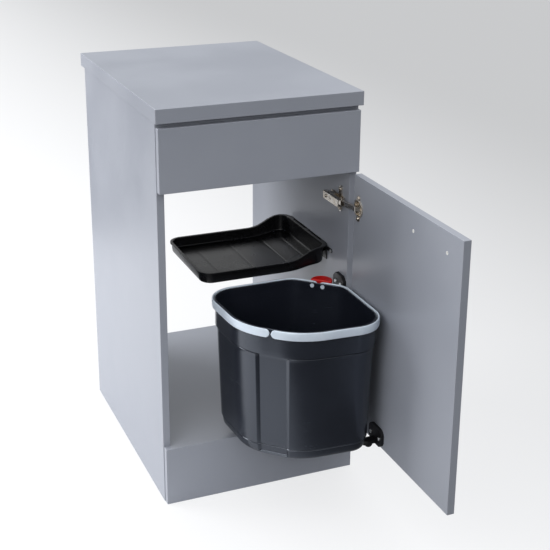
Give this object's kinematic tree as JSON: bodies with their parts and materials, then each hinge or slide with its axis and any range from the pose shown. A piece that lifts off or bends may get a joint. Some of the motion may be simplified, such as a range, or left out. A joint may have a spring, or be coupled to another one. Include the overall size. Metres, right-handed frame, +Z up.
{
  "type": "built-in recycling bin",
  "caption": "Kitchen base unit whose hinged door swings a waste bucket out on a wall bracket; the bucket has folding half-loop handles and a storage tray above covers it when shut.",
  "frame": {"origin": "middle of the plinth's foot, on the ground", "axes": "+Z up, +X to the right seen from the front, the fronts face -Y"},
  "size_m": [0.45, 1.041, 0.88],
  "materials": {
    "lacquered_board": "satin grey lacquer on board",
    "beech": "raw",
    "zinc_steel": "bright zinc",
    "nickel_steel": "nickel",
    "fitting_plastic": "black, fine grain",
    "red_plastic": "smooth",
    "bucket_plastic": "anthracite, satin",
    "handle_plastic": "light silver grey, satin",
    "tray_plastic": "black, satin"
  },
  "bodies": {
    "cabinet": {"worktop": "lacquered_board", "side_panel_left": "lacquered_board", "side_panel_right": "lacquered_board", "floor_panel": "lacquered_board", "front_rail": "lacquered_board", "back_rail": "lacquered_board", "fascia": "lacquered_board", "plinth": "lacquered_board", "carcass_dowels": "beech", "plinth_blocks": "beech", "worktop_brackets": "zinc_steel", "worktop_bracket_screws": "zinc_steel", "fascia_screws": "zinc_steel", "plinth_screws": "zinc_steel", "tray_rail": "zinc_steel", "tray_rail_screws": "zinc_steel", "wall_bracket_screws": "zinc_steel", "pivot_pin": "zinc_steel", "hinge_arm_upper": "nickel_steel", "hinge_arm_lower": "nickel_steel", "hinge_plate_upper": "nickel_steel", "hinge_plate_lower": "nickel_steel", "hinge_plate_screws": "nickel_steel", "hinge_arm_screws": "nickel_steel", "wall_bracket": "fitting_plastic"},
    "door": {"door": "lacquered_board", "hinge_cup_upper": "nickel_steel", "hinge_cup_lower": "nickel_steel", "hinge_cup_screws": "nickel_steel", "door_bracket": "fitting_plastic", "door_bracket_screws": "zinc_steel", "knob_pin": "fitting_plastic"},
    "hanger": {"hanger": "fitting_plastic"},
    "catch": {"catch": "red_plastic"},
    "bucket": {"bucket": "bucket_plastic", "handle_rivets": "handle_plastic"},
    "handle_left": {"handle_left": "handle_plastic"},
    "handle_right": {"handle_right": "handle_plastic"},
    "pull_link": {"pull_link": "fitting_plastic", "bucket_peg": "fitting_plastic"},
    "hinge_link_upper": {"hinge_link_upper": "nickel_steel"},
    "hinge_link_lower": {"hinge_link_lower": "nickel_steel"},
    "tray": {"tray": "tray_plastic"}
  },
  "joints": [
    {"name": "door_swing", "type": "hinge", "parent": "cabinet", "child": "door", "pos_m": [0.223, -0.008, 0.42], "axis": [0, 0, 1], "range_deg": [-90, 5]},
    {"name": "bin_swing", "type": "hinge", "parent": "cabinet", "child": "hanger", "pos_m": [0.163, 0.047, 0.36], "axis": [0, 0, 1], "range_deg": [-90, 5]},
    {"name": "link_swing", "type": "hinge", "parent": "door", "child": "pull_link", "pos_m": [0.187, -0.155, 0.1426], "axis": [0, 0, 1], "range_deg": [-5, 90]},
    {"name": "hinge_fold_upper", "type": "hinge", "parent": "door", "child": "hinge_link_upper", "pos_m": [0.212, -0.033, 0.633], "axis": [0, 0, 1], "range_deg": [-4, 72]},
    {"name": "hinge_fold_lower", "type": "hinge", "parent": "door", "child": "hinge_link_lower", "pos_m": [0.212, -0.033, 0.206], "axis": [0, 0, 1], "range_deg": [-4, 72]},
    {"name": "bucket_lift", "type": "slide", "parent": "hanger", "child": "bucket", "axis": [0, 0, 1], "range_m": [0, 0.06]},
    {"name": "handle_left_lift", "type": "hinge", "parent": "bucket", "child": "handle_left", "pos_m": [0.15452, 0.05548, 0.4426], "axis": [0.7071, 0.7071, 0], "range_deg": [0, 85]},
    {"name": "handle_right_lift", "type": "hinge", "parent": "bucket", "child": "handle_right", "pos_m": [0.17148, 0.03852, 0.4426], "axis": [-0.7071, -0.7071, 0], "range_deg": [0, 85]},
    {"name": "catch_slide", "type": "slide", "parent": "hanger", "child": "catch", "axis": [-0.7071, -0.7071, 0], "range_m": [0, 0.006]},
    {"name": "tray_lift", "type": "slide", "parent": "cabinet", "child": "tray", "axis": [0, 0, 1], "range_m": [0, 0.025]}
  ],
  "couplings": [
    {"joint": "bin_swing", "follows": "door_swing", "ratio": 1},
    {"joint": "link_swing", "follows": "door_swing", "ratio": -1},
    {"joint": "hinge_fold_upper", "follows": "door_swing", "ratio": -0.8},
    {"joint": "hinge_fold_lower", "follows": "door_swing", "ratio": -0.8}
  ]
}
